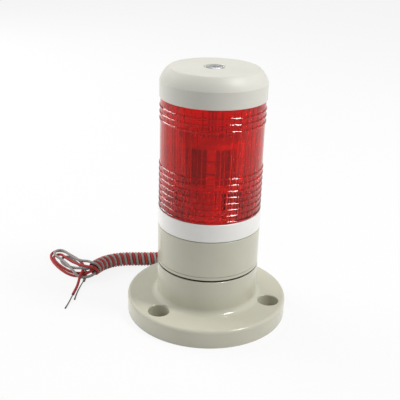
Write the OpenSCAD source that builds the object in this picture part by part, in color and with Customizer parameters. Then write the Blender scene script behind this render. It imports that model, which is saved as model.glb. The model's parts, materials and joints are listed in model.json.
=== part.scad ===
// Signal tower light: a red beaded lens on a moulded column, a flanged foot and a wound two-core lead.
// Millimetres, +Z up, origin in the middle of the mounting surface, seen from the front along +Y.

/* [Column] */
// Diameter of the body, the ring and the cap
column_d = 50; // [47:1:60]
// Wall of the moulded pieces
wall_t = 2.4; // [2:0.1:3]
// Clearance where one moulded piece slides into another
fit_gap = 0.3; // [0.15:0.05:0.4]
// Rounding of the small outer edges
edge_r = 0.3; // [0.1:0.1:0.6]

/* [Base] */
// Width of the flange outside the collar
flange_w = 14.9; // [13.6:0.1:24]
// Height of the flange
flange_h = 9; // [8:0.5:14]
// Thickness of the flange's top plate
flange_t = 2.6; // [2:0.1:4]
// Thickness of the flange's rim
rim_t = 2.4; // [1.6:0.1:4]
// Rounding of the flange's upper edge
flange_edge_r = 1.5; // [0.5:0.1:2.4]
// Height of the collar above the flange
collar_h = 17.6; // [15:0.2:30]
// Wall of the collar
collar_t = 1.6; // [1.5:0.1:3]
// Step by which the collar stands proud of the body
collar_step = 0.1; // [0.1:0.1:1.5]
// Fillet between the collar and the flange
collar_fillet_r = 3; // [1:0.5:5]
// Thickness of the ledge inside the collar that carries the body
ledge_t = 2.6; // [2:0.1:4]
// Width of the ledge inside the body screws
ledge_land = 3.5; // [2.5:0.1:5]
// Thickness of the ribs under the flange
rib_t = 1.8; // [1.2:0.1:3]
// Clearance of the ribs above the mounting surface
rib_lift = 1; // [0.5:0.1:3]
// Angle between a mounting hole and the rib on each side of it
rib_spread = 35; // [25:1:40]

/* [Mounting holes] */
// Number of mounting holes
hole_count = 3; // [3:1:4]
// Direction of the first mounting hole
first_hole_angle = -135; // [-180:1:180]
// Distance from the rim to the centre of a mounting hole
hole_inset = 8; // [7.2:0.1:9]
// Diameter of a mounting hole
hole_d = 5.5; // [4:0.1:6.6]
// Diameter of the counterbore for the screw head
counterbore_d = 10.4; // [9:0.1:12]
// Depth of the counterbore
counterbore_depth = 6.4; // [3:0.1:7]
// Wall of the boss round a counterbore
boss_wall = 2.2; // [1.2:0.1:3]

/* [Cable notch] */
// Width of the notch in the rim for the lead
notch_w = 6; // [5:0.1:7]
// Height of the notch
notch_h = 4; // [3.6:0.1:6]

/* [Body] */
// Height of the body's visible side
body_h = 19.5; // [14:0.5:40]
// Length of the spigot that stands in the collar
spigot_l = 10; // [8:0.5:14]
// Thickness of the seal between the collar and the body
base_seal_t = 1; // [0.5:0.1:2]
// Distance of the seal's outer edge from the collar's side
base_seal_inset = 1; // [0.2:0.1:1.2]
// Height of the fine line above the body's lower edge
foot_line_z = 1.4; // [0.8:0.1:3]
// Width of the fine line
foot_line_w = 0.3; // [0.2:0.05:0.6]
// Depth of the fine line
foot_line_depth = 0.25; // [0.1:0.05:0.6]
// Diameter of the screws that hold the body to the base
body_screw_d = 3; // [2.5:0.1:4]
// Length of those screws under the head
body_screw_l = 10; // [6:0.5:11]
// Diameter of those screws' heads
body_head_d = 5.6; // [5:0.1:7]
// Height of those screws' heads
body_head_h = 2.2; // [1.6:0.1:3]
// Diameter of the bosses that take those screws
body_boss_d = 6; // [5.4:0.1:7]
// Depth by which those bosses are sunk into the wall
body_boss_bite = 1.2; // [0.6:0.1:1.8]

/* [Ring] */
// Height of the white ring
ring_h = 9.1; // [7:0.1:20]
// Thickness of the deck inside the ring
deck_t = 2.4; // [1.8:0.1:3]
// Length of the ring's spigot in the body
ring_spigot_l = 2.5; // [1.5:0.1:5]
// Height of the shadow gap between the ring and the body
ring_gap_h = 0.3; // [0.1:0.05:0.6]
// Depth of that gap
ring_gap_depth = 0.8; // [0.3:0.1:1.2]

/* [Lens] */
// Height of the lens between ring and cap
lens_h = 54; // [46:1:90]
// Step from the column's side in to the smooth wall of the lens
lens_step = 0.5; // [0.2:0.1:1]
// Wall of the lens
lens_t = 2; // [1.8:0.1:2.4]
// Length of the tongues at both ends of the lens
tongue_h = 2; // [1:0.1:3]
// Thickness of those tongues
tongue_t = 1; // [0.8:0.1:1.3]
// Thickness of the seals at the ends of the tongues
lens_seal_t = 0.8; // [0.4:0.1:1.2]
// Distance between neighbouring beads
bead_pitch = 3; // [2.2:0.1:4]
// Radius of a bead's section
bead_r = 0.8; // [0.5:0.1:1]
// Height of a bead above the smooth wall
bead_h = 0.4; // [0.2:0.05:0.5]
// Number of beads above the ring
lower_beads = 8; // [2:1:9]
// Number of beads below the cap
upper_beads = 3; // [1:1:5]
// Height of the lowest bead above the lower edge of the lens
lower_bead_lift = 0.8; // [0.8:0.1:3]
// Distance of the highest bead from the upper edge of the lens
upper_bead_drop = 4.1; // [1:0.1:6]
// Number of upright flutes inside the lens
flute_count = 42; // [24:2:42]
// Radius of a flute
flute_r = 2.2; // [1:0.1:4]
// Depth of a flute
flute_depth = 0.35; // [0.2:0.05:0.8]
// Plain height at both ends of the flutes
flute_margin = 1; // [0.5:0.5:10]

/* [Cap] */
// Height of the cap
cap_h = 13.8; // [11:0.1:24]
// Height of the cap's upright side
cap_side_h = 7.8; // [4:0.1:9]
// Step from the column's side in to the edge of the flat top
cap_top_inset = 4.3; // [2:0.1:8]
// Radius of the cap's curved shoulder
shoulder_r = 13; // [12:0.5:40]
// Rounding of the edge of the flat top
cap_edge_r = 1.6; // [0.3:0.1:2]
// Diameter of the recess for the cap screw
recess_d = 10.4; // [9.6:0.1:14]
// Depth of that recess
recess_depth = 3; // [2.4:0.1:5]
// Height of the middle boss's end above the cap's lower edge
cap_boss_lift = 3.8; // [1:0.1:6]
// Diameter of the cap screw
cap_screw_d = 4; // [3:0.1:4.4]
// Length of the cap screw under its head
cap_screw_l = 18; // [14:0.5:24]
// Diameter of the cap screw's head
cap_head_d = 8.4; // [7:0.1:9]
// Height of the cap screw's head
cap_head_h = 2.2; // [1.6:0.1:3]
// Diameter of the washer under the cap screw
cap_washer_d = 9.4; // [8.6:0.1:9.5]
// Thickness of the washer under the cap screw
cap_washer_t = 0.8; // [0.4:0.1:1.2]
// Width of the cross recess
cross_w = 1.1; // [0.8:0.1:1.6]
// Length of the cross recess
cross_l = 4.6; // [3.6:0.1:6]
// Depth of the cross recess
cross_depth = 1.3; // [0.8:0.1:1.6]

/* [Tie rod] */
// Diameter of the rod that the cap screw pulls on
rod_d = 6; // [5.4:0.1:8]
// Diameter of the stud at its lower end
stud_d = 4; // [3:0.1:5]
// Width across the flats of the nut
nut_w = 7; // [6:0.1:8]
// Height of the nut
nut_h = 3.2; // [2.4:0.1:4]
// Length of the stud below the nut
stud_end = 0.8; // [0:0.1:2]
// Diameter of the washer above the nut
nut_washer_d = 9; // [8:0.1:10]
// Thickness of that washer
nut_washer_t = 0.8; // [0.5:0.1:1.2]
// Clearance of a hole round a rod, screw or wire
hole_gap = 0.2; // [0.1:0.05:0.3]

/* [Light source] */
// Height of the pillar under the light source
pillar_h = 19; // [10:0.5:22]
// Diameter of the pillar
pillar_d = 13; // [10:0.5:16]
// Diameter of the pillar's foot
pillar_foot_d = 20; // [18:0.5:22]
// Thickness of the pillar's foot
pillar_foot_t = 1.6; // [1:0.1:3]
// Number of LED boards round the rod
led_faces = 6; // [5:1:8]
// Width of an LED board
led_board_w = 12; // [9:0.5:13]
// Height of an LED board
led_board_h = 20; // [15:0.5:24]
// Thickness of an LED board
led_board_t = 1.2; // [0.8:0.1:1.6]
// Distance between the edges of neighbouring LED boards and their corner
led_corner_gap = 0.35; // [0.2:0.05:1]
// Thickness of the plates that hold the LED boards
led_plate_t = 2.4; // [1.8:0.1:3]
// Margin of the plates outside the LED boards
led_plate_margin = 1.2; // [0.6:0.1:2]
// Depth of the grooves for the LED boards
groove_depth = 1; // [0.5:0.1:1.4]
// Width of an LED
led_w = 5; // [3:0.1:6]
// Height of an LED
led_h = 1.6; // [1:0.1:2.4]
// Least space between the LEDs on a board
led_space = 1; // [0.5:0.1:3]
// Diameter of an LED's round window
led_window_d = 4; // [2:0.1:4.4]
// Depth of that window
led_window_depth = 0.3; // [0.1:0.1:0.6]
// Diameter of the ring that locks the upper plate on the rod
retainer_d = 12; // [9:0.5:16]
// Thickness of that ring
retainer_t = 0.8; // [0.5:0.1:1.2]

/* [Control board] */
// Thickness of the control board
board_t = 1.6; // [1:0.1:2]
// Distance of the board's screws from the spigot's inner wall
board_screw_inset = 4.3; // [3.6:0.1:5]
// Diameter of the bosses under the board
board_boss_d = 5; // [4:0.1:6]
// Angle from a body screw to the next board screw
board_screw_turn = 30; // [25:1:40]
// Diameter of the board's screws
board_screw_d = 2; // [1.6:0.1:2.5]
// Length of the board's screws under the head
board_screw_l = 6; // [4:0.5:8]
// Diameter of the board's screw heads
board_head_d = 4; // [3.4:0.1:5]
// Height of the board's screw heads
board_head_h = 1.5; // [1:0.1:2]
// Width of the terminal block
terminal_w = 5.6; // [5.2:0.1:7]
// Depth of the terminal block
terminal_l = 6.4; // [5:0.1:7]
// Clearance between the terminal block and the grommet
terminal_gap = 0.3; // [0.1:0.1:1]
// Diameter of a terminal screw
terminal_screw_d = 2; // [1.6:0.1:2.2]
// Depth of the holes for the terminal screws
terminal_hole_depth = 1.6; // [1.2:0.1:2.4]
// Height of a terminal screw in its hole
terminal_screw_h = 1; // [0.6:0.1:1.2]
// Diameter of the smoothing capacitor
capacitor_d = 8; // [6.3:0.1:10]
// Height of the smoothing capacitor
capacitor_h = 9; // [6:0.5:10]
// Diameter of the round rectifier
rectifier_d = 9; // [7:0.1:10]
// Height of the round rectifier
rectifier_h = 5.5; // [4:0.1:8]
// Rounding of the capacitor's and the rectifier's upper edges
component_edge_r = 0.5; // [0.2:0.1:1]
// Height of the groove round the capacitor
capacitor_groove_z = 1.1; // [0.8:0.1:2]
// Radius of that groove
capacitor_groove_r = 0.35; // [0.2:0.05:0.6]
// Diameter of a dropper resistor
resistor_d = 3; // [2:0.1:4]
// Length of a dropper resistor
resistor_l = 8; // [6:0.1:9]
// Diameter of a resistor's legs
resistor_leg_d = 0.7; // [0.5:0.1:1]
// Diameter of a feed wire
feed_wire_d = 1.4; // [1:0.1:2]
// Distance between the two feed wires
feed_pitch = 3; // [2.6:0.1:5]
// Space between the feed wires and the pillar's foot
feed_gap = 1.5; // [0.6:0.1:2]

/* [Lead] */
// Diameter of one core of the lead
lead_d = 1.5; // [1.2:0.1:1.8]
// Distance between the two cores where they run side by side
lead_pitch = 2.54; // [2.2:0.02:3]
// Diameter of the stripped conductor
conductor_d = 0.7; // [0.5:0.1:1]
// Diameter of the wound hank
hank_d = 8; // [7:0.1:9]
// Height of the open loops at the outer end of the hank
loops_h = 7; // [5:0.1:8]
// Height of the folds at the inner end of the hank
folds_h = 3.2; // [3:0.1:4]
// Diameter of the grommet's hole in the body
grommet_hole_d = 6; // [5.6:0.1:7]
// Width of the grommet's lip outside that hole
grommet_lip_w = 1; // [0.8:0.1:1.5]
// Thickness of the grommet's lip
grommet_lip_t = 1.4; // [0.8:0.1:2]
// Distance between the grommet and the ledge
grommet_side_gap = 0.8; // [0.4:0.1:1.5]

/* [Hidden] */
$fn = 64;
// Length by which a cutting shape runs past the face that it cuts.
cut = 1;

column_r = column_d / 2;
bore_r = column_r - wall_t;
collar_r = column_r + collar_step;
collar_bore_r = collar_r - collar_t;
spigot_r = collar_bore_r - fit_gap;
spigot_bore_r = spigot_r - wall_t;
base_r = collar_r + flange_w;
hole_r = base_r - hole_inset;
notch_angle = first_hole_angle + 180 / hole_count + floor(hole_count / 2) * 360 / hole_count;

collar_top = flange_h + collar_h;
body_z = collar_top + base_seal_t;
web_z = body_z - spigot_l;
web_top = web_z + wall_t;
ledge_z = web_z - ledge_t;
board_z = body_z + wall_t;
board_top = board_z + board_t;
ring_z = body_z + body_h;
deck_top = ring_z + deck_t;
lens_z = ring_z + ring_h;
cap_z = lens_z + lens_h;
cap_side_top = cap_z + cap_side_h;
top_z = cap_z + cap_h;

body_screw_r = spigot_bore_r - body_boss_d / 2 + body_boss_bite;
ledge_bore_r = body_screw_r - ledge_land;
board_screw_r = spigot_bore_r - board_screw_inset;
board_screw_angle = first_hole_angle + board_screw_turn;
grommet_lip_r = grommet_hole_d / 2 + grommet_lip_w;
grommet_r = ledge_bore_r - grommet_lip_r - grommet_side_gap;
grommet_bottom = web_z - grommet_lip_t;
grommet_top = web_top + grommet_lip_t;
terminal_z = grommet_top + terminal_gap;

lens_r = column_r - lens_step;
lens_bore_r = lens_r - lens_t;
rebate_r = lens_bore_r + tongue_t + fit_gap;
rebate_h = tongue_h + lens_seal_t;
bead_centre_r = lens_r + bead_h - bead_r;
flute_centre_r = lens_bore_r + flute_depth - flute_r;
bead_heights = concat(
    [for (i = [0:lower_beads - 1]) lens_z + lower_bead_lift + i * bead_pitch],
    [for (i = [0:upper_beads - 1]) cap_z - upper_bead_drop - i * bead_pitch]);

// The shoulder's arc runs from the top of the cap's side to the edge of its flat top.
shoulder_start = [column_r, cap_side_top];
shoulder_end = [column_r - cap_top_inset, top_z];
shoulder_chord = shoulder_end - shoulder_start;
shoulder_inward = [-shoulder_chord.y, shoulder_chord.x] / norm(shoulder_chord);
shoulder_rise = sqrt(shoulder_r ^ 2 - (norm(shoulder_chord) / 2) ^ 2);
shoulder_centre = (shoulder_start + shoulder_end) / 2 + shoulder_rise * shoulder_inward;
cap_edge_z = top_z - cap_edge_r;
cap_edge_x = shoulder_centre.x + sqrt((shoulder_r - cap_edge_r) ^ 2 - (cap_edge_z - shoulder_centre.y) ^ 2);
cap_edge_centre = [cap_edge_x, cap_edge_z];
cap_edge_up = [0, cap_edge_r];
cap_edge_out = (cap_edge_centre - shoulder_centre) * cap_edge_r / (shoulder_r - cap_edge_r);

cap_boss_z = cap_z + cap_boss_lift;
cap_boss_r = recess_d / 2 + wall_t;
recess_z = top_z - recess_depth;
cap_head_z = recess_z + cap_washer_t;
cap_screw_end = cap_head_z - cap_screw_l;
rod_hole_end = cap_screw_end - 4 * hole_gap;
nut_washer_z = web_z - nut_washer_t;
nut_z = nut_washer_z - nut_h;

led_plate_z = deck_top + pillar_h;
led_board_z = led_plate_z + led_plate_t - groove_depth;
led_upper_z = led_board_z + led_board_h - groove_depth;
led_apothem = (led_board_w / 2 + led_corner_gap) / tan(180 / led_faces);
led_plate_r = norm([led_apothem + led_board_t, led_board_w / 2]) + led_plate_margin;
led_middle_z = (led_plate_z + led_plate_t + led_upper_z) / 2;
led_free_h = led_board_h - 2 * groove_depth;
leds_per_board = floor(led_free_h / (led_w + led_space));
led_pitch = led_free_h / leds_per_board;
retainer_z = led_upper_z + led_plate_t;
feed_r = pillar_foot_d / 2 + feed_gap + feed_wire_d / 2;

// Places on the control board, with X towards the cable notch.
capacitor_place = [-8.5, 7];
rectifier_place = [0, -11.5];
resistor_places = [[-9.5, -4], [8.5, 3.5]];

// Route of the lead's middle, from the terminal block out through the notch to the wound hank.
lead_route = [
    [7.6, 7.6, 21.5], [7.6, 7.6, 18.5], [7.6, 7.6, 15.5], [7.8, 7.8, 12.5], [8.6, 8.6, 9.8],
    [10.2, 10.2, 7.4], [12.6, 12.6, 5.2], [15.4, 15.4, 3.6], [18.4, 18.4, 2.4], [21.4, 21.4, 1.6],
    [24.4, 24.4, 1.1], [27, 27, 0.9], [29.2, 29.4, 0.9], [30.6, 31.6, 0.9], [30.6, 34.2, 0.9],
    [29, 36.4, 0.9], [26.4, 38, 0.9], [23, 39.4, 0.9], [19.2, 40.8, 0.9], [15, 42, 0.9],
    [10, 43, 0.9], [5, 43.4, 1], [1, 43.5, 1.4], [-3, 43.5, 2], [-6.6, 43.5, 2.5]];
// Middle of the wound hank on the mounting surface.
hank_path = [
    [-7.5, 45.1], [-15, 44], [-22, 42.9], [-29, 42.1], [-36, 41.4], [-42, 40.9],
    [-47, 40.2], [-51.5, 38.7], [-55.2, 36.6], [-58.2, 33.9], [-60.6, 30.6], [-62.4, 27]];
// Middles and radii of the circles round the open loops and round the folds, from the hank outwards.
loop_circles = [[-66.4, 22.4, 1.9], [-77.4, 35.6, 9], [-85.6, 48.8, 5.6]];
fold_circles = [[-4.8, 47.6, 1.8], [5.4, 53, 6]];
// Insulated ends of the two cores on the mounting surface, and their stripped ends.
red_tail_path = [[-68.5, 20.2], [-68.7, 16.6], [-68.9, 13.2], [-69.2, 8.8], [-69.6, 4]];
grey_tail_path = [[-66.3, 20.2], [-66.4, 18.8]];
red_bare_route = [[-69.6, 3.8, 0.8], [-69.9, 0, 0.6], [-70.4, -5, 0.4], [-71, -9.6, 0.4]];
grey_bare_route = [[-66.6, 18.4, 0.8], [-67.4, 13, 0.5], [-67.9, 6, 0.4], [-67.9, -0.6, 0.4]];
notch_side = [-sin(notch_angle), cos(notch_angle), 0];
upright = [0, 0, 1];

ivory = "#cdcab8";
cap_ivory = "#dcdbd2";
white = "#ececec";
lens_red = "#c41e14";
rubber = "#1d1d1d";
steel = "#b9bcc0";
board_green = "#1f5a36";
board_tan = "#a5793f";
seal_red = "#9c3224";
lead_red = "#b5302c";
lead_grey = "#9a9a96";

// Waste outside a rounded corner whose material lies to the left and below.
module rounded_corner(r) {
    translate([-r, -r])
        difference() {
            square(r + cut);
            circle(r);
        }
}

// Waste outside a rounded corner whose material lies to the left and above.
module rounded_lower_corner(r) {
    mirror([0, 1]) rounded_corner(r);
}

// Material in an inside corner that opens to the right and up.
module filled_corner(r) {
    difference() {
        translate([-cut, -cut]) square(r + cut);
        translate([r, r]) circle(r);
    }
}

// Rectangle in a half section, from one radius to another.
module band(r_in, r_out, z, h) {
    translate([r_in, z]) square([r_out - r_in, h]);
}

// Hollow in a half section, from the axis out to a radius.
module hollow(r, z, h) {
    translate([-cut, z]) square([r + cut, h]);
}

module around(count, first) {
    for (i = [0:count - 1]) rotate(first + i * 360 / count) children();
}

module rod_between(d, z_low, z_high) {
    translate([0, 0, z_low]) cylinder(d = d, h = z_high - z_low);
}

module flat_ring(r_in, r_out, z, h) {
    rotate_extrude() band(r_in, r_out, z, h);
}

// Screw with a rounded head, standing head up with the underside of its head at the origin.
module pan_screw(d, l, head_d, head_h) {
    rod_between(d, -l, head_h / 2);
    rotate_extrude()
        difference() {
            square([head_d / 2, head_h]);
            translate([head_d / 2, head_h]) rounded_corner(head_h / 2);
        }
}

module cross_recess(w, l, depth) {
    for (turn = [0, 90]) rotate(turn) translate([-l / 2, -w / 2, -depth]) cube([l, w, depth + cut]);
}

// Small screw whose cross recess follows the size of its head.
module small_screw(d, l, head_d, head_h) {
    difference() {
        pan_screw(d, l, head_d, head_h);
        translate([0, 0, head_h]) cross_recess(head_d / 8, head_d / 2, head_h / 2);
    }
}

function unit(v) = v / norm(v);

function headings(route) = [
    for (i = [0:len(route) - 1]) unit(route[min(i + 1, len(route) - 1)] - route[max(i - 1, 0)])];

// Side directions that turn with the route and never twist round it.
function sides(heading, side, i = 0) =
    i == len(heading) ? [] :
    let (next = unit(side - (side * heading[i]) * heading[i]))
    concat([next], sides(heading, next, i + 1));

function beside(route, side, distance) =
    let (s = sides(headings(route), side))
    [for (i = [0:len(route) - 1]) route[i] + distance * s[i]];

// Route of something of diameter d that lies on the mounting surface.
function lying(path, d) = [for (p = path) [p.x, p.y, d / 2]];

// Round tube swept along a route.
module tube(route, d, side, count = 8) {
    heading = headings(route);
    across = sides(heading, side);
    rings = len(route);
    points = [
        for (i = [0:rings - 1], k = [0:count - 1])
            let (a = k * 360 / count)
            route[i] + d / 2 * (cos(a) * across[i] + sin(a) * cross(heading[i], across[i]))];
    walls = [
        for (i = [0:rings - 2], k = [0:count - 1])
            let (n = (k + 1) % count)
            [i * count + k, (i + 1) * count + k, (i + 1) * count + n, i * count + n]];
    first_end = [for (k = [0:count - 1]) k];
    last_end = [for (k = [count - 1:-1:0]) (rings - 1) * count + k];
    polyhedron(points, concat([first_end, last_end], walls));
}

// Foot: hollow flange with rim, bosses and ribs, and the collar with the ledge that carries the body.
module base_section() {
    difference() {
        union() {
            band(0, base_r, 0, flange_h);
            band(0, collar_r, 0, collar_top);
            translate([collar_r, flange_h]) filled_corner(collar_fillet_r);
        }
        translate([base_r, flange_h]) rounded_corner(flange_edge_r);
        translate([collar_r, collar_top]) rounded_corner(edge_r);
        hollow(base_r - rim_t, -cut, flange_h - flange_t + cut);
        hollow(collar_bore_r, -cut, ledge_z + cut);
        hollow(ledge_bore_r, -cut, web_z + 2 * cut);
        hollow(collar_bore_r, web_z, collar_top - web_z + cut);
    }
}

module base_rib() {
    translate([collar_bore_r, -rib_t / 2, rib_lift])
        cube([base_r - rim_t / 2 - collar_bore_r, rib_t, flange_h - flange_t / 2 - rib_lift]);
}

module notch_cut() {
    rotate(notch_angle)
        translate([base_r - 2 * rim_t, 0, 0]) {
            translate([0, 0, notch_h - notch_w / 2]) rotate([0, 90, 0]) cylinder(d = notch_w, h = 3 * rim_t);
            translate([0, -notch_w / 2, -cut]) cube([3 * rim_t, notch_w, notch_h - notch_w / 2 + cut]);
        }
}

// Boss round a mounting hole, kept inside the rim.
module base_boss() {
    intersection() {
        translate([hole_r, 0, 0]) rod_between(counterbore_d + 2 * boss_wall, 0, flange_h - flange_t / 2);
        rod_between(2 * base_r - rim_t, 0, flange_h);
    }
}

// Hole for a mounting screw, with a counterbore for its head and a broken edge at the mouth.
module mounting_hole() {
    mouth_d = counterbore_d + 2 * edge_r;
    rod_between(hole_d, -cut, flange_h);
    rod_between(counterbore_d, flange_h - counterbore_depth, flange_h);
    translate([0, 0, flange_h - edge_r]) cylinder(d1 = counterbore_d, d2 = mouth_d, h = edge_r);
    rod_between(mouth_d, flange_h, flange_h + collar_fillet_r);
}

module base_flange() {
    color(ivory)
        difference() {
            union() {
                rotate_extrude() base_section();
                around(hole_count, first_hole_angle) {
                    base_boss();
                    for (turn = [-rib_spread, rib_spread]) rotate(turn) base_rib();
                }
            }
            around(hole_count, first_hole_angle) {
                translate([hole_r, 0, 0]) mounting_hole();
                translate([body_screw_r, 0, 0])
                    rod_between(body_screw_d + 2 * hole_gap, ledge_z - cut, web_z + cut);
            }
            notch_cut();
        }
}

module base_seal() {
    color(rubber) flat_ring(spigot_r + fit_gap / 2, collar_r - base_seal_inset, collar_top, base_seal_t);
}

// Body: cup with a spigot below, bosses for its screws, and a shoulder that carries the control board.
module body_section() {
    difference() {
        union() {
            band(0, spigot_r, web_z, spigot_l + wall_t / 2);
            band(0, column_r, body_z, body_h);
        }
        hollow(spigot_bore_r, web_top, ring_z);
        hollow(bore_r, board_z, ring_z);
        translate([column_r, ring_z]) rounded_corner(edge_r);
        band(column_r - foot_line_depth, column_r + cut, body_z + foot_line_z, foot_line_w);
    }
}

module body_housing() {
    color(ivory)
        difference() {
            union() {
                rotate_extrude() body_section();
                around(hole_count, first_hole_angle)
                    translate([body_screw_r, 0, 0])
                        rod_between(body_boss_d, web_z + wall_t / 2, board_z - board_t);
                around(hole_count, board_screw_angle)
                    translate([board_screw_r, 0, 0]) rod_between(board_boss_d, web_z + wall_t / 2, board_z);
            }
            around(hole_count, first_hole_angle)
                translate([body_screw_r, 0, 0])
                    rod_between(body_screw_d + hole_gap, web_z - cut, ledge_z + body_screw_l + hole_gap);
            around(hole_count, board_screw_angle)
                translate([board_screw_r, 0, board_top - board_screw_l])
                    rod_between(board_screw_d + hole_gap, -hole_gap, board_screw_l);
            rod_between(stud_d + 2 * hole_gap, web_z - cut, web_top + cut);
            rotate(notch_angle)
                translate([grommet_r, 0, 0]) rod_between(grommet_hole_d, web_z - cut, web_top + cut);
        }
}

module body_screws() {
    color(steel)
        around(hole_count, first_hole_angle)
            translate([body_screw_r, 0, ledge_z])
                mirror([0, 0, 1]) small_screw(body_screw_d, body_screw_l, body_head_d, body_head_h);
}

module cable_grommet() {
    neck_r = grommet_hole_d / 2 - hole_gap / 2;
    color(rubber)
        rotate(notch_angle)
            translate([grommet_r, 0, 0])
                difference() {
                    union() {
                        flat_ring(0, neck_r, grommet_bottom, grommet_top - grommet_bottom);
                        flat_ring(0, grommet_lip_r, grommet_bottom, grommet_lip_t);
                        flat_ring(0, grommet_lip_r, web_top, grommet_lip_t);
                    }
                    for (side = [-1, 1])
                        translate([0, side * lead_pitch / 2, 0])
                            rod_between(lead_d + hole_gap, grommet_bottom - cut, grommet_top + cut);
                }
}

// Supply on its round board, with the terminal block hanging under it above the grommet.
module control_board() {
    color(board_green)
        difference() {
            rod_between(2 * (bore_r - fit_gap), board_z, board_top);
            rod_between(rod_d + 4 * hole_gap, board_z - cut, board_top + cut);
            around(hole_count, board_screw_angle)
                translate([board_screw_r, 0, 0])
                    rod_between(board_screw_d + 2 * hole_gap, board_z - cut, board_top + cut);
        }
}

module board_screws() {
    color(steel)
        around(hole_count, board_screw_angle)
            translate([board_screw_r, 0, board_top])
                small_screw(board_screw_d, board_screw_l, board_head_d, board_head_h);
}

// Places of the two terminal screws on the inner face of the block, looking out from the axis.
module at_terminal_screws() {
    rotate(notch_angle)
        for (side = [-1, 1])
            translate([grommet_r - terminal_l / 2, side * lead_pitch / 2, (terminal_z + board_z) / 2])
                rotate([0, 90, 0]) children();
}

module terminal_block() {
    color("#2f7d4a")
        difference() {
            rotate(notch_angle)
                translate([grommet_r - terminal_l / 2, -terminal_w / 2, terminal_z])
                    cube([terminal_l, terminal_w, board_z - terminal_z]);
            at_terminal_screws() rod_between(terminal_screw_d + hole_gap, -cut, terminal_hole_depth);
        }
}

module terminal_screws() {
    color(steel)
        at_terminal_screws()
            difference() {
                rod_between(terminal_screw_d, terminal_hole_depth - terminal_screw_h, terminal_hole_depth);
                translate([0, 0, terminal_hole_depth - terminal_screw_h])
                    cube([terminal_screw_d + cut, terminal_screw_d / 5, terminal_screw_h], center = true);
            }
}

// Turns a place on the control board with the cable notch.
module on_board(place) {
    rotate(notch_angle) translate([place.x, place.y, board_top]) children();
}

module smoothing_capacitor() {
    color("#24304a")
        on_board(capacitor_place)
            rotate_extrude()
                difference() {
                    square([capacitor_d / 2, capacitor_h]);
                    translate([capacitor_d / 2, capacitor_h]) rounded_corner(component_edge_r);
                    translate([capacitor_d / 2, capacitor_groove_z]) circle(capacitor_groove_r);
                }
}

module rectifier() {
    color("#222222")
        on_board(rectifier_place)
            rotate_extrude()
                difference() {
                    square([rectifier_d / 2, rectifier_h]);
                    translate([rectifier_d / 2, rectifier_h]) rounded_corner(component_edge_r);
                }
}

// Resistor lying along Y, with a bent leg at each end.
module resistor() {
    leg_reach = resistor_l + resistor_d;
    translate([0, 0, resistor_d / 2])
        rotate([90, 0, 0]) {
            cylinder(d = resistor_d, h = resistor_l, center = true);
            cylinder(d = resistor_leg_d, h = leg_reach, center = true);
        }
    for (side = [-1, 1])
        translate([0, side * leg_reach / 2, 0])
            rod_between(resistor_leg_d, 0, (resistor_d + resistor_leg_d) / 2);
}

module dropper_resistors() {
    color("#c9b48a")
        for (place = resistor_places) on_board(place) resistor();
}

module at_feed_wires() {
    rotate(notch_angle)
        for (side = [-1, 1]) translate([feed_r, side * feed_pitch / 2, 0]) children();
}

module feed_wires() {
    color(rubber) at_feed_wires() rod_between(feed_wire_d, board_top, led_plate_z);
}

// White ring with the deck that carries the light source.
module ring_section() {
    difference() {
        union() {
            band(0, column_r, ring_z, ring_h);
            band(0, bore_r - fit_gap, ring_z - ring_spigot_l, ring_spigot_l + deck_t / 2);
        }
        hollow(bore_r - fit_gap - wall_t, ring_z - ring_spigot_l - cut, ring_spigot_l + cut);
        hollow(bore_r, deck_top, ring_h);
        hollow(rebate_r, lens_z - rebate_h, rebate_h + cut);
        translate([column_r, lens_z]) rounded_corner(edge_r);
        band(column_r - ring_gap_depth, column_r + cut, ring_z - cut, ring_gap_h + cut);
        translate([column_r, ring_z + ring_gap_h]) rounded_lower_corner(edge_r);
    }
}

module spacer_ring() {
    color(white)
        difference() {
            rotate_extrude() ring_section();
            rod_between(rod_d + 2 * hole_gap, ring_z - cut, deck_top + cut);
            at_feed_wires() rod_between(feed_wire_d + 2 * hole_gap, ring_z - cut, deck_top + cut);
        }
}

// Red lens: tongues at both ends, ring beads outside and upright flutes inside.
module lens_section() {
    band(lens_bore_r, lens_r, lens_z, lens_h);
    band(lens_bore_r, lens_bore_r + tongue_t, lens_z - tongue_h, lens_h + 2 * tongue_h);
    for (z = bead_heights) translate([bead_centre_r, z]) circle(bead_r);
}

module lens() {
    color(lens_red, 0.6)
        difference() {
            rotate_extrude() lens_section();
            around(flute_count, 0)
                translate([flute_centre_r, 0, 0])
                    rod_between(2 * flute_r, lens_z + flute_margin, cap_z - flute_margin);
        }
}

module lens_seal(z) {
    color(seal_red) flat_ring(lens_bore_r + hole_gap, rebate_r - hole_gap, z, lens_seal_t);
}

module lens_lower_seal() { lens_seal(lens_z - rebate_h); }
module lens_upper_seal() { lens_seal(cap_z + tongue_h); }

module tie_rod() {
    color(steel)
        difference() {
            union() {
                rod_between(rod_d, web_top, cap_boss_z);
                rod_between(stud_d, nut_z - stud_end, web_top + cut);
            }
            rod_between(cap_screw_d + hole_gap, rod_hole_end, cap_boss_z + cut);
        }
}

module tie_washer() {
    color(steel) flat_ring(stud_d / 2 + hole_gap, nut_washer_d / 2, nut_washer_z, nut_washer_t);
}

module tie_nut() {
    color(steel)
        difference() {
            translate([0, 0, nut_z]) cylinder(d = nut_w / cos(30), h = nut_h, $fn = 6);
            rod_between(stud_d + hole_gap, nut_z - cut, nut_z + nut_h + cut);
        }
}

// Light source: a pillar on the rod and upright LED boards held in the grooves of two plates.
module led_pillar() {
    color(white)
        rotate_extrude()
            difference() {
                union() {
                    band(0, pillar_d / 2, deck_top, pillar_h);
                    band(0, pillar_foot_d / 2, deck_top, pillar_foot_t);
                }
                hollow(rod_d / 2 + hole_gap, deck_top - cut, pillar_h + 2 * cut);
            }
}

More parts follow.
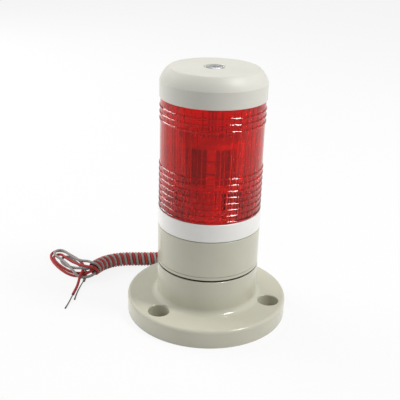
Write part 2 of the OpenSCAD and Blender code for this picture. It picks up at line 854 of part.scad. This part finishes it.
module led_plate(z, groove_z) {
    color(white)
        difference() {
            rod_between(2 * led_plate_r, z, z + led_plate_t);
            rod_between(rod_d + 2 * hole_gap, z - cut, z + led_plate_t + cut);
            around(led_faces, -90)
                translate([led_apothem - hole_gap / 2, -(led_board_w + hole_gap) / 2, groove_z])
                    cube([led_board_t + hole_gap, led_board_w + hole_gap, groove_depth + cut]);
        }
}

module led_lower_plate() { led_plate(led_plate_z, led_board_z); }
module led_upper_plate() { led_plate(led_upper_z, led_upper_z - cut); }

// Turns a piece on the front board to the place of board number i.
module at_face(i) {
    rotate(-90 + (i - 1) * 360 / led_faces) children();
}

module led_board(i) {
    color(board_tan)
        at_face(i)
            translate([led_apothem, -led_board_w / 2, led_board_z])
                cube([led_board_t, led_board_w, led_board_h]);
}

module leds(i) {
    first_z = led_middle_z - (leds_per_board - 1) / 2 * led_pitch;
    color("#f2efdc")
        at_face(i)
            for (k = [0:leds_per_board - 1])
                translate([led_apothem + led_board_t, 0, first_z + k * led_pitch])
                    difference() {
                        translate([0, -led_w / 2, -led_w / 2]) cube([led_h, led_w, led_w]);
                        translate([led_h - led_window_depth, 0, 0])
                            rotate([0, 90, 0]) cylinder(d = led_window_d, h = cut);
                    }
}

module retaining_ring() {
    color(steel) flat_ring(rod_d / 2 + hole_gap / 2, retainer_d / 2, retainer_z, retainer_t);
}

// Cap: upright side, curved shoulder, flat top and the middle boss that the cap screw pulls down.
module cap_outline(inset) {
    band(0, column_r - inset, cap_z, cap_side_h);
    intersection() {
        band(0, column_r - inset, cap_z, cap_h - inset);
        translate(shoulder_centre) circle(shoulder_r - inset);
    }
}

module cap_section() {
    difference() {
        cap_outline(0);
        difference() {
            cap_outline(wall_t);
            band(0, cap_boss_r, cap_boss_z, cap_h);
        }
        hollow(rebate_r, cap_z - cut, rebate_h + cut);
        translate([column_r, cap_z]) rounded_lower_corner(edge_r);
        translate(cap_edge_centre)
            difference() {
                polygon([[0, 0], 1.5 * cap_edge_up, 1.5 * (cap_edge_up + cap_edge_out), 1.5 * cap_edge_out]);
                circle(cap_edge_r);
            }
    }
}

module cap() {
    color(cap_ivory)
        difference() {
            rotate_extrude() cap_section();
            rod_between(recess_d, recess_z, top_z + cut);
            rod_between(cap_screw_d + 2 * hole_gap, cap_boss_z - cut, top_z);
        }
}

module cap_washer() {
    color("#e4e4e0") flat_ring(cap_screw_d / 2 + hole_gap, cap_washer_d / 2, recess_z, cap_washer_t);
}

module cap_screw() {
    color(steel)
        translate([0, 0, cap_head_z])
            difference() {
                pan_screw(cap_screw_d, cap_screw_l, cap_head_d, cap_head_h);
                translate([0, 0, cap_head_h]) cross_recess(cross_w, cross_l, cross_depth);
            }
}

// Lead: two cores side by side, the wound hank with its loops and folds, and the stripped ends.
module red_lead() {
    color(lead_red) tube(beside(lead_route, notch_side, -lead_pitch / 2), lead_d, notch_side);
}

module grey_lead() {
    color(lead_grey) tube(beside(lead_route, notch_side, lead_pitch / 2), lead_d, notch_side);
}

module lead_hank() {
    color(lead_red) tube(lying(hank_path, hank_d), hank_d, upright, 12);
}

// Solid round a flat bunch of loops.
module loop_bunch(circles, h) {
    linear_extrude(h)
        hull()
            for (c = circles) translate([c.x, c.y]) circle(c.z, $fn = 32);
}

module lead_loops() { color(lead_grey) loop_bunch(loop_circles, loops_h); }
module lead_folds() { color(lead_grey) loop_bunch(fold_circles, folds_h); }
module red_tail() { color(lead_red) tube(lying(red_tail_path, lead_d), lead_d, upright); }
module grey_tail() { color(lead_grey) tube(lying(grey_tail_path, lead_d), lead_d, upright); }
module red_bare_end() { color(steel) tube(red_bare_route, conductor_d, upright); }
module grey_bare_end() { color(steel) tube(grey_bare_route, conductor_d, upright); }

base_flange();
base_seal();
body_housing();
body_screws();
cable_grommet();
control_board();
board_screws();
terminal_block();
terminal_screws();
smoothing_capacitor();
rectifier();
dropper_resistors();
feed_wires();
spacer_ring();
lens_lower_seal();
lens();
lens_upper_seal();
tie_rod();
tie_washer();
tie_nut();
led_pillar();
led_lower_plate();
led_upper_plate();
for (i = [1:led_faces]) {
    led_board(i);
    leds(i);
}
retaining_ring();
cap();
cap_washer();
cap_screw();
red_lead();
grey_lead();
lead_hank();
lead_loops();
lead_folds();
red_tail();
grey_tail();
red_bare_end();
grey_bare_end();
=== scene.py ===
import json
import math

import bpy
from mathutils import Matrix, Vector


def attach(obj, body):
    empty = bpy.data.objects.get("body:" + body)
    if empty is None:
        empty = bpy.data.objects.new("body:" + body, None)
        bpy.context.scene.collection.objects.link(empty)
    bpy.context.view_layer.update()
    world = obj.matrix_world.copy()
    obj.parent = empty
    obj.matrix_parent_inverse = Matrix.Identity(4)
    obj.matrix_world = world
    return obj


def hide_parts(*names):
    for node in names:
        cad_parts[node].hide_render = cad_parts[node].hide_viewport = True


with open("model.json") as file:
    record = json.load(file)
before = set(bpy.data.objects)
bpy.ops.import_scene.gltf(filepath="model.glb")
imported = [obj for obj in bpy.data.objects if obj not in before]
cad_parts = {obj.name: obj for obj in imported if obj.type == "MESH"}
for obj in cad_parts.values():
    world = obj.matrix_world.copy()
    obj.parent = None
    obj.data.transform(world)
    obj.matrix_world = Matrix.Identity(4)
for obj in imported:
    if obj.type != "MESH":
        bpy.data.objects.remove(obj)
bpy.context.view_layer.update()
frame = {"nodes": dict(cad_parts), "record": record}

MM = 0.001

# Camera, fitted to the outlines of the foot, the ring, the lens and the cap.
CAMERA_PLACE = (-0.2, -330.6, 194.3)
CAMERA_PITCH = 0.39
CAMERA_YAW = -0.0136
CAMERA_ROLL = 0.0322
CAMERA_LENS = 66.06
CAMERA_SENSOR = 36.0
CAMERA_NEAR_LIMIT = 0.01

# Floor and room, in metres. The white of the floor fades out between two distances in front of the lamp.
FLOOR_SIZE = 8.0
FLOOR_COLOUR = (0.7, 0.7, 0.7, 1.0)
FLOOR_FRONT_COLOUR = (0.5, 0.5, 0.5, 1.0)
FLOOR_GLOW_SHARE = 0.85
FLOOR_FADE_START = 0.085
FLOOR_FADE_END = 0.19
ROOM_LIGHT = 0.48
LAMP_AIM = (0.0, 0.0, 0.06)
LAMP_DISTANCE = 0.85

# Colour and roughness of the moulded pieces, and a lower gloss where one is dull.
MOULDED = {
    "ivory_plastic": ((0.507, 0.495, 0.40), 0.18),
    "cap_plastic": ((0.62, 0.61, 0.55), 0.45),
    "white_plastic": ((0.765, 0.757, 0.73), 0.25),
    "black_rubber": ((0.024, 0.02, 0.014), 0.7, 0.1),
    "red_silicone": ((0.35, 0.04, 0.02), 0.6),
    "green_board": ((0.03, 0.16, 0.06), 0.3),
    "tan_board": ((0.38, 0.19, 0.05), 0.45),
    "led_white": ((0.8, 0.78, 0.66), 0.3),
    "terminal_green": ((0.03, 0.22, 0.08), 0.4),
    "capacitor_sleeve": ((0.02, 0.03, 0.08), 0.3),
    "black_moulding": ((0.02, 0.02, 0.02), 0.4),
    "resistor_body": ((0.58, 0.46, 0.24), 0.4),
}
# Colour and roughness of the metals.
METALS = {
    "plated_steel": ((0.75, 0.76, 0.78), 0.25),
    "tinned_wire": ((0.3, 0.29, 0.27), 0.5),
}
INSULATION_COLOURS = {
    "red_insulation": (0.39, 0.047, 0.044),
    "grey_insulation": (0.31, 0.288, 0.278),
}
LENS_COLOUR = (0.74, 0.025, 0.006)

# Middle line and thickness of the black lip of the seal between the collar and the body; the ring darkens the
# seam as painted shade.
SEAM_SHADE_LIP_R = 24.6
SEAM_SHADE_LIP_Z = 27.1
SEAM_SHADE_LIP_D = 0.7
SEAM_SHADE_LIP_POINTS = 48

# Lead, with the thickness and spacing of its cores and the route of the solid model, in millimetres.
LEAD_D = 1.5
LEAD_PITCH = 2.54
CONDUCTOR_D = 0.7
HANK_D = 8.0
LEAD_ROUTE = [
    (7.6, 7.6, 21.5), (7.6, 7.6, 18.5), (7.6, 7.6, 15.5), (7.8, 7.8, 12.5), (8.6, 8.6, 9.8),
    (10.2, 10.2, 7.4), (12.6, 12.6, 5.2), (15.4, 15.4, 3.6), (18.4, 18.4, 2.4), (21.4, 21.4, 1.6),
    (24.4, 24.4, 1.1), (27, 27, 0.9), (29.2, 29.4, 0.9), (30.6, 31.6, 0.9), (30.6, 34.2, 0.9),
    (29, 36.4, 0.9), (26.4, 38, 0.9), (23, 39.4, 0.9), (19.2, 40.8, 0.9), (15, 42, 0.9),
    (10, 43, 0.9), (5, 43.4, 1), (1, 43.5, 1.4)]
HANK_PATH = [
    (-7.5, 45.1), (-15, 44), (-22, 42.9), (-29, 42.1), (-36, 41.4), (-42, 40.9),
    (-47, 40.2), (-51.5, 38.7), (-55.2, 36.6), (-58.2, 33.9), (-60.6, 30.6), (-62.4, 27)]
RED_BARE_ROUTE = [(-69.6, 3.8, 0.8), (-69.9, 0, 0.6), (-70.4, -5, 0.4), (-71, -9.6, 0.4)]
GREY_BARE_ROUTE = [(-66.6, 18.4, 0.8), (-67.4, 13, 0.5), (-67.9, 6, 0.4), (-67.9, -0.6, 0.4)]

# Turns of the two cores round the hank: where a winding starts, and its first and last direction in degrees.
TURN_PITCH = 3.386
FULL_TURNS = 17
POINTS_PER_TURN = 14
WIND_R = HANK_D / 2 - LEAD_D / 2
RED_WINDING = {"start": 2.8, "first_turn": -75, "last_turn": -20}
GREY_WINDING = {"start": 1.96, "first_turn": 10, "last_turn": 105}

# Straight strands inside the hank: their directions from its middle line, back and out again.
RED_STRAND_TURNS = (-135, 45)
GREY_STRAND_TURNS = (-45, 135)
CORE_R = 1.5
CORE_POINTS = 12
CORE_START_GAP = 0.6
CORE_END_GAP = 0.4

# Ways of the cores into the winding, round the loops at its outer end and round the folds at its inner end.
RED_JOIN = [(-3.4, 45.3, 1.1), (-6.0, 46.4, 0.75), (-8.4, 47.2, 0.75), (-10.3, 46.7, 0.75)]
GREY_JOIN = [(-3.4, 42.0, 1.0), (-6.4, 41.6, 0.8), (-8.3, 41.3, 1.5), (-9.1, 41.2, 2.8)]
RED_BACK_LOOP = [
    (-60.2, 24.6, 5.3), (-62.0, 23.8, 6.4), (-64.6, 24.6, 6.5), (-68.2, 27.3, 5.7), (-71.8, 30.5, 4.8),
    (-75.2, 34.3, 3.9), (-78.6, 38.8, 3.2), (-81.2, 42.6, 2.6), (-82.9, 45.3, 2.1), (-84.3, 47.5, 1.6),
    (-86.1, 48.4, 1.2), (-87.8, 47.7, 0.9), (-88.5, 45.8, 0.75), (-87.9, 43.3, 0.75), (-86.2, 40.2, 0.75),
    (-83.8, 36.7, 0.75), (-80.8, 33.4, 0.75), (-77.8, 30.5, 0.75), (-75.0, 28.3, 0.8), (-72.2, 26.7, 1.1),
    (-69.4, 25.7, 1.7), (-67.0, 25.1, 2.4), (-64.9, 25.1, 2.7), (-63.7, 26.4, 2.75)]
RED_FRONT_LOOP = [
    (-62.0, 25.0, 4.9), (-63.5, 23.6, 4.2), (-66.2, 22.7, 2.9), (-69.4, 22.7, 1.5), (-72.8, 23.7, 0.85),
    (-76.2, 25.9, 0.75), (-79.5, 28.9, 0.75), (-82.8, 32.7, 0.75), (-85.8, 36.9, 0.75), (-88.4, 41.2, 0.75),
    (-90.1, 45.5, 0.75), (-90.6, 49.0, 0.75), (-89.8, 52.2, 0.75), (-87.7, 54.1, 0.75), (-84.9, 53.9, 0.8),
    (-82.0, 51.7, 0.85), (-79.0, 48.3, 1.0), (-75.6, 44.3, 1.5), (-72.0, 39.4, 2.1), (-69.6, 34.6, 2.8),
    (-68.4, 30.0, 3.3), (-68.0, 26.0, 3.6), (-68.1, 22.6, 4.0), (-68.4, 19.4, 3.9), (-68.6, 16.4, 2.4),
    (-68.8, 13.4, 1.0), (-69.1, 10.0, 0.75), (-69.6, 4.0, 0.75)]
GREY_BACK_LOOP = [
    (-65.9, 30.6, 7.0), (-69.7, 32.7, 5.6), (-73.1, 36.0, 4.9), (-76.4, 40.2, 4.2), (-79.6, 45.0, 3.5),
    (-81.9, 48.3, 3.0), (-84.0, 50.7, 2.7), (-86.4, 51.4, 2.5), (-88.2, 50.0, 2.4), (-88.6, 47.6, 2.35),
    (-87.4, 45.0, 2.3), (-84.9, 42.2, 2.4), (-82.2, 38.9, 2.6), (-79.4, 34.6, 3.1), (-76.6, 30.2, 3.6),
    (-74.0, 26.3, 3.4), (-71.8, 23.0, 2.9), (-69.8, 20.7, 2.2), (-67.4, 20.0, 2.1), (-64.8, 20.6, 2.3),
    (-62.6, 22.2, 2.4), (-61.3, 24.3, 2.6)]
GREY_INNER_LOOP = [
    (-64.2, 26.0, 5.0), (-65.8, 24.9, 4.8), (-68.4, 24.7, 5.5), (-71.2, 26.7, 4.2), (-74.3, 29.6, 2.9),
    (-77.4, 32.6, 1.9), (-80.2, 35.8, 1.2), (-82.4, 39.2, 0.85), (-83.6, 42.4, 0.75), (-83.2, 45.4, 0.75),
    (-81.0, 47.2, 0.75), (-78.5, 45.8, 0.75), (-76.0, 42.3, 0.75), (-73.2, 38.4, 0.75), (-70.2, 34.6, 0.75),
    (-67.8, 31.4, 0.75), (-66.6, 27.4, 0.75), (-66.3, 23.2, 0.75), (-66.4, 18.8, 0.75)]
RED_FOLD = [
    (-4.8, 48.6, 2.0), (-2.2, 51.8, 1.1), (0.8, 55.2, 0.75), (4.4, 57.8, 0.75), (8.6, 57.8, 0.75),
    (11.2, 54.8, 0.75), (10.8, 51.0, 0.75), (8.0, 48.2, 1.0), (4.6, 46.6, 2.0), (1.4, 45.2, 3.4),
    (-2.0, 43.9, 4.6), (-5.2, 43.8, 5.2)]
GREY_FOLD = [
    (-4.6, 44.4, 2.8), (-1.4, 46.0, 2.6), (1.6, 47.9, 1.8), (4.8, 49.4, 1.0), (7.9, 51.0, 0.75),
    (9.1, 53.5, 0.75), (7.4, 56.0, 0.75), (4.4, 55.6, 0.75), (1.6, 53.0, 1.2), (-1.2, 49.8, 2.4),
    (-4.2, 47.4, 4.2)]

# Strands of a stripped end: one in the middle and the others twisted round it.
OUTER_STRANDS = 6
STRAND_LAY = 6.0
STRAND_POINTS = 28
STRAND_SPLAY = 0.6


# Camera, floor and light

def add_camera():
    camera = bpy.data.objects.new("camera", bpy.data.cameras.new("camera"))
    bpy.context.collection.objects.link(camera)
    camera.data.sensor_width = CAMERA_SENSOR
    camera.data.lens = CAMERA_LENS
    camera.data.clip_start = CAMERA_NEAR_LIMIT
    turn = Matrix.Rotation(-CAMERA_YAW, 4, "Z")
    tilt = Matrix.Rotation(math.pi / 2 - CAMERA_PITCH, 4, "X")
    roll = Matrix.Rotation(CAMERA_ROLL, 4, "Z")
    camera.matrix_world = Matrix.Translation(Vector(CAMERA_PLACE) * MM) @ turn @ tilt @ roll
    bpy.context.scene.camera = camera


def link(tree, source, target):
    tree.links.new(source, target)


def seen_rays(tree):
    """Output that is 1 for rays which show a thing: straight, in a reflection or through glass."""
    path = tree.nodes.new("ShaderNodeLightPath")
    mirrored = tree.nodes.new("ShaderNodeMath")
    mirrored.operation = "MAXIMUM"
    link(tree, path.outputs["Is Camera Ray"], mirrored.inputs[0])
    link(tree, path.outputs["Is Glossy Ray"], mirrored.inputs[1])
    seen = tree.nodes.new("ShaderNodeMath")
    seen.operation = "MAXIMUM"
    link(tree, mirrored.outputs[0], seen.inputs[0])
    link(tree, path.outputs["Is Transmission Ray"], seen.inputs[1])
    return seen.outputs[0]


def front_fade(tree):
    """Output that is 1 on the white floor and 0 on the floor in front of it."""
    place = tree.nodes.new("ShaderNodeTexCoord")
    split = tree.nodes.new("ShaderNodeSeparateXYZ")
    fade = tree.nodes.new("ShaderNodeMapRange")
    fade.interpolation_type = "SMOOTHSTEP"
    fade.inputs["From Min"].default_value = -FLOOR_FADE_END
    fade.inputs["From Max"].default_value = -FLOOR_FADE_START
    link(tree, place.outputs["Object"], split.inputs[0])
    link(tree, split.outputs["Y"], fade.inputs["Value"])
    return fade.outputs["Result"]


def floor_material():
    """Plain paint under a white glow, which shows to seen rays and lets the shadow through."""
    material = bpy.data.materials.new("pale_floor")
    material.use_nodes = True
    tree = material.node_tree
    shader = tree.nodes["Principled BSDF"]
    shader.inputs["Roughness"].default_value = 0.9
    shader.inputs["Specular IOR Level"].default_value = 0.0
    fade = front_fade(tree)
    paint = tree.nodes.new("ShaderNodeValToRGB")
    paint.color_ramp.elements[0].color = FLOOR_FRONT_COLOUR
    paint.color_ramp.elements[1].color = FLOOR_COLOUR
    link(tree, fade, paint.inputs["Fac"])
    link(tree, paint.outputs["Color"], shader.inputs["Base Color"])
    glow = tree.nodes.new("ShaderNodeEmission")
    reach = tree.nodes.new("ShaderNodeMath")
    reach.operation = "MULTIPLY"
    reach.inputs[1].default_value = FLOOR_GLOW_SHARE
    link(tree, fade, reach.inputs[0])
    share = tree.nodes.new("ShaderNodeMath")
    share.operation = "MULTIPLY"
    link(tree, seen_rays(tree), share.inputs[0])
    link(tree, reach.outputs[0], share.inputs[1])
    mix = tree.nodes.new("ShaderNodeMixShader")
    link(tree, share.outputs[0], mix.inputs["Fac"])
    link(tree, shader.outputs[0], mix.inputs[1])
    link(tree, glow.outputs[0], mix.inputs[2])
    link(tree, mix.outputs[0], tree.nodes["Material Output"].inputs["Surface"])
    return material


def add_floor():
    half = FLOOR_SIZE / 2
    mesh = bpy.data.meshes.new("floor")
    corners = [(-half, -half, 0), (half, -half, 0), (half, half, 0), (-half, half, 0)]
    mesh.from_pydata(corners, [], [(0, 1, 2, 3)])
    mesh.materials.append(floor_material())
    floor = bpy.data.objects.new("floor", mesh)
    bpy.context.collection.objects.link(floor)


def add_world():
    world = bpy.data.worlds.new("studio")
    bpy.context.scene.world = world
    world.use_nodes = True
    light = world.node_tree.nodes["Background"]
    light.inputs["Color"].default_value = (1.0, 1.0, 1.0, 1.0)
    light.inputs["Strength"].default_value = ROOM_LIGHT


def add_softbox(name, azimuth, elevation, size, power, fills=True, gleams=True):
    """Lamp that looks at the column; azimuth is seen from above, from the camera's side towards the right.

    It fills the plain surfaces with light, makes gleams on the glossy ones, or does both.
    """
    across = math.cos(math.radians(elevation))
    turn = math.radians(azimuth)
    rise = math.sin(math.radians(elevation))
    away = Vector((across * math.sin(turn), -across * math.cos(turn), rise))
    lamp = bpy.data.lights.new(name, "AREA")
    lamp.shape = "RECTANGLE"
    lamp.size = size[0]
    lamp.size_y = size[1]
    lamp.energy = power
    softbox = bpy.data.objects.new(name, lamp)
    bpy.context.collection.objects.link(softbox)
    softbox.visible_diffuse = fills
    softbox.visible_transmission = fills
    softbox.visible_glossy = gleams
    softbox.location = Vector(LAMP_AIM) + LAMP_DISTANCE * away
    softbox.rotation_euler = (-away).to_track_quat("-Z", "Y").to_euler()
    return softbox


def light_only(softbox, *names):
    """Keep a lamp's light on the named nodes."""
    receivers = bpy.data.collections.new(softbox.name + "_receivers")
    for name in names:
        receivers.objects.link(frame["nodes"][name])
    softbox.light_linking.receiver_collection = receivers


def add_lights():
    """Soft light from both sides, and strips whose gleams stay on the lens and the cap screw."""
    add_softbox("key_softbox", 70, 55, (0.14, 0.24), 3.9)
    add_softbox("right_softbox", 96, 28, (0.5, 0.5), 2.0, gleams=False)
    add_softbox("left_softbox", -120, 24, (0.8, 0.5), 6.6, gleams=False)
    right_strip = add_softbox("right_strip", 57, 30, (0.22, 0.7), 20.0, fills=False)
    left_strip = add_softbox("left_strip", -108, 18, (0.7, 0.5), 11.0, fills=False)
    back_strip = add_softbox("back_strip", 172, 46, (0.3, 0.3), 0.8, fills=False)
    light_only(right_strip, "lens", "cap_screw")
    light_only(left_strip, "lens")
    light_only(back_strip, "cap_screw")


# Materials

def new_material(name, colour, roughness):
    material = bpy.data.materials.new(name)
    material.use_nodes = True
    shader = material.node_tree.nodes["Principled BSDF"]
    shader.inputs["Base Color"].default_value = (*colour, 1.0)
    shader.inputs["Roughness"].default_value = roughness
    material.diffuse_color = (*colour, 1.0)
    return material, shader


def noise(tree, scale, detail):
    """Noise in the object's own metres, so scale is in grains per metre."""
    place = tree.nodes.new("ShaderNodeTexCoord")
    grain = tree.nodes.new("ShaderNodeTexNoise")
    grain.inputs["Scale"].default_value = scale
    grain.inputs["Detail"].default_value = detail
    link(tree, place.outputs["Object"], grain.inputs["Vector"])
    return grain.outputs["Fac"]


def mottle(material, shader, colour, spread, scale):
    """Base colour that wanders a little to both sides of the given one."""
    tree = material.node_tree
    ramp = tree.nodes.new("ShaderNodeValToRGB")
    ramp.color_ramp.elements[0].position = 0.3
    ramp.color_ramp.elements[0].color = (*[c * (1 - spread) for c in colour], 1.0)
    ramp.color_ramp.elements[1].position = 0.7
    ramp.color_ramp.elements[1].color = (*[min(1.0, c * (1 + spread)) for c in colour], 1.0)
    link(tree, noise(tree, scale, detail=4.0), ramp.inputs["Fac"])
    link(tree, ramp.outputs["Color"], shader.inputs["Base Color"])


def grain_bump(material, shader, scale, height):
    """Fine grain on the surface, with its height in millimetres."""
    tree = material.node_tree
    bump = tree.nodes.new("ShaderNodeBump")
    bump.inputs["Strength"].default_value = 1.0
    bump.inputs["Distance"].default_value = height * MM
    link(tree, noise(tree, scale, detail=2.0), bump.inputs["Height"])
    link(tree, bump.outputs["Normal"], shader.inputs["Normal"])


def moulded_plastic(name, colour, roughness, gloss=0.5):
    material, shader = new_material(name, colour, roughness)
    shader.inputs["Specular IOR Level"].default_value = gloss
    mottle(material, shader, colour, spread=0.03, scale=60.0)
    grain_bump(material, shader, scale=2500.0, height=0.01)
    return material


def metal(name, colour, roughness):
    material, shader = new_material(name, colour, roughness)
    shader.inputs["Metallic"].default_value = 1.0
    mottle(material, shader, colour, spread=0.08, scale=400.0)
    grain_bump(material, shader, scale=3000.0, height=0.006)
    return material


def insulation(name, colour):
    material, shader = new_material(name, colour, 0.42)
    shader.inputs["Specular IOR Level"].default_value = 0.15
    mottle(material, shader, colour, spread=0.1, scale=300.0)
    grain_bump(material, shader, scale=4000.0, height=0.008)
    return material


def clear_red(name):
    material, shader = new_material(name, LENS_COLOUR, 0.04)
    shader.inputs["IOR"].default_value = 1.5
    shader.inputs["Transmission Weight"].default_value = 0.95
    shader.inputs["Specular Tint"].default_value = (0.6, 0.6, 0.6, 1.0)
    return material


def make_materials():
    """Material for each slot of the record."""
    materials = {name: moulded_plastic(name, *look) for name, look in MOULDED.items()}
    for name, look in METALS.items():
        materials[name] = metal(name, *look)
    for name, colour in INSULATION_COLOURS.items():
        materials[name] = insulation(name, colour)
    materials["red_lens"] = clear_red("red_lens")
    return materials


MATERIALS = make_materials()


def dress_nodes():
    for subpart in frame["record"]["subparts"]:
        mesh = frame["nodes"][subpart["node"]].data
        mesh.materials.clear()
        mesh.materials.append(MATERIALS[subpart["material_slot"]])


# Seal and lead

def add_curve(name, strands, diameter, slot, closed=False):
    """Round wires on smooth lines, one for each list of points in millimetres."""
    data = bpy.data.curves.new(name, "CURVE")
    data.dimensions = "3D"
    data.bevel_depth = diameter / 2 * MM
    data.bevel_resolution = 3
    data.use_fill_caps = True
    data.resolution_u = 4
    for points in strands:
        spline = data.splines.new("NURBS")
        spline.points.add(len(points) - 1)
        for target, point in zip(spline.points, points):
            target.co = (*(Vector(point) * MM), 1.0)
        spline.order_u = 4
        spline.use_endpoint_u = not closed
        spline.use_cyclic_u = closed
    data.materials.append(MATERIALS[slot])
    curve = bpy.data.objects.new(name, data)
    bpy.context.collection.objects.link(curve)
    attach(curve, "root")
    return curve


def add_seam_shade_lip():
    """Rounded black lip of the seal, a dark ring put in the gap above the collar as painted shade of the
    seam.
    """
    turns = [2 * math.pi * i / SEAM_SHADE_LIP_POINTS for i in range(SEAM_SHADE_LIP_POINTS)]
    circle = [(SEAM_SHADE_LIP_R * math.cos(t), SEAM_SHADE_LIP_R * math.sin(t), SEAM_SHADE_LIP_Z) for t in turns]
    # Black rubber ring in the seam gap, partly the seal and partly painted shade of the seam.
    add_curve("seam_shade_lip", [circle], SEAM_SHADE_LIP_D, "black_rubber", closed=True)


def catmull_rom(points, steps):
    """Points on a smooth line through the given ones."""
    ends = [2 * points[0] - points[1]] + points + [2 * points[-1] - points[-2]]
    line = []
    for a, b, c, d in zip(ends, ends[1:], ends[2:], ends[3:]):
        for i in range(steps):
            t = i / steps
            line.append(0.5 * (2 * b + (c - a) * t + (2 * a - 5 * b + 4 * c - d) * t ** 2
                               + (3 * b - a - 3 * c + d) * t ** 3))
    return line + [points[-1]]


def places_along(line):
    """Distance along a line at each of its points."""
    places = [0.0]
    for a, b in zip(line, line[1:]):
        places.append(places[-1] + (b - a).length)
    return places


HANK_LINE = catmull_rom([Vector((x, y, HANK_D / 2)) for x, y in HANK_PATH], steps=40)
HANK_PLACES = places_along(HANK_LINE)
HANK_LENGTH = HANK_PLACES[-1]


def on_hank(place, turn, radius):
    """Point beside the hank's middle line; turn 0 is its front and 90 its top."""
    last = len(HANK_LINE) - 1
    i = next((k for k in range(1, last) if HANK_PLACES[k] >= place), last)
    step = HANK_LINE[i] - HANK_LINE[i - 1]
    heading = step.normalized()
    middle = HANK_LINE[i - 1] + heading * (place - HANK_PLACES[i - 1])
    front = Vector((-heading.y, heading.x, 0.0))
    angle = math.radians(turn)
    return middle + radius * (math.cos(angle) * front + math.sin(angle) * Vector((0, 0, 1)))


def winding(start, first_turn, last_turn):
    """Turns of one core round the hank, from its inner end to its outer end."""
    turned = last_turn - first_turn + 360 * FULL_TURNS
    advance = TURN_PITCH * turned / 360
    count = round(turned / 360 * POINTS_PER_TURN)
    return [on_hank(start + advance * i / count, first_turn + turned * i / count, WIND_R)
            for i in range(count + 1)]


def core_strand(turn):
    """Straight strand inside the hank, from its inner end to its outer end."""
    reach = HANK_LENGTH - CORE_START_GAP - CORE_END_GAP
    return [on_hank(CORE_START_GAP + reach * i / (CORE_POINTS - 1), turn, CORE_R) for i in range(CORE_POINTS)]


def beside(route, distance):
    """Route moved sideways, with a side that turns with the route and never twists round it."""
    points = [Vector(p) for p in route]
    side = Vector((-1, 1, 0)).normalized()
    moved = []
    for i, point in enumerate(points):
        heading = (points[min(i + 1, len(points) - 1)] - points[max(i - 1, 0)]).normalized()
        side = (side - side.dot(heading) * heading).normalized()
        moved.append(point + distance * side)
    return moved


def core_points(offset, join, turns, back_loop, strand_turns, fold, end_loop):
    """Whole way of one core, from the terminal block to its tail."""
    back, out = strand_turns
    return (beside(LEAD_ROUTE, offset) + join + winding(**turns) + back_loop
            + core_strand(back)[::-1] + fold + core_strand(out) + end_loop)


def stripped_strands(route, strand_d):
    """Twisted strands along a stripped end, which spread a little towards their tips."""
    line = catmull_rom([Vector(p) for p in route], steps=12)
    picks = [line[round(i * (len(line) - 1) / (STRAND_POINTS - 1))] for i in range(STRAND_POINTS)]
    length = places_along(picks)[-1]
    strands = [picks]
    for k in range(OUTER_STRANDS):
        strand = []
        for i, point in enumerate(picks):
            share = i / (STRAND_POINTS - 1)
            heading = (picks[min(i + 1, STRAND_POINTS - 1)] - picks[max(i - 1, 0)]).normalized()
            side = heading.cross(Vector((0, 0, 1))).normalized()
            rise = side.cross(heading)
            angle = 2 * math.pi * (k / OUTER_STRANDS + share * length / STRAND_LAY)
            reach = strand_d * (1 + STRAND_SPLAY * share ** 4)
            strand.append(point + reach * (math.cos(angle) * side + math.sin(angle) * rise))
        strands.append(strand)
    return strands


def add_wire(colour, points, *nodes):
    """Insulated core of the lead, in place of the plain solids of these nodes."""
    wire = add_curve(colour + "_wire", [points], LEAD_D, colour + "_insulation")
    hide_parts(*nodes)
    return wire


def add_stripped_end(colour, route):
    strand_d = CONDUCTOR_D / 3
    end = add_curve(colour + "_strands", stripped_strands(route, strand_d), strand_d, "tinned_wire")
    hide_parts(colour + "_bare_end")
    return end


def add_lead():
    red_points = core_points(-LEAD_PITCH / 2, RED_JOIN, RED_WINDING, RED_BACK_LOOP, RED_STRAND_TURNS,
                             RED_FOLD, RED_FRONT_LOOP)
    grey_points = core_points(LEAD_PITCH / 2, GREY_JOIN, GREY_WINDING, GREY_BACK_LOOP, GREY_STRAND_TURNS,
                              GREY_FOLD, GREY_INNER_LOOP)
    red = add_wire("red", red_points, "red_lead", "red_tail", "lead_hank")
    grey = add_wire("grey", grey_points, "grey_lead", "grey_tail", "lead_loops", "lead_folds")
    red_end = add_stripped_end("red", RED_BARE_ROUTE)
    grey_end = add_stripped_end("grey", GREY_BARE_ROUTE)


bpy.context.scene.view_settings.view_transform = "Standard"
add_camera()
add_floor()
add_world()
add_lights()
dress_nodes()
add_lead()
add_seam_shade_lip()
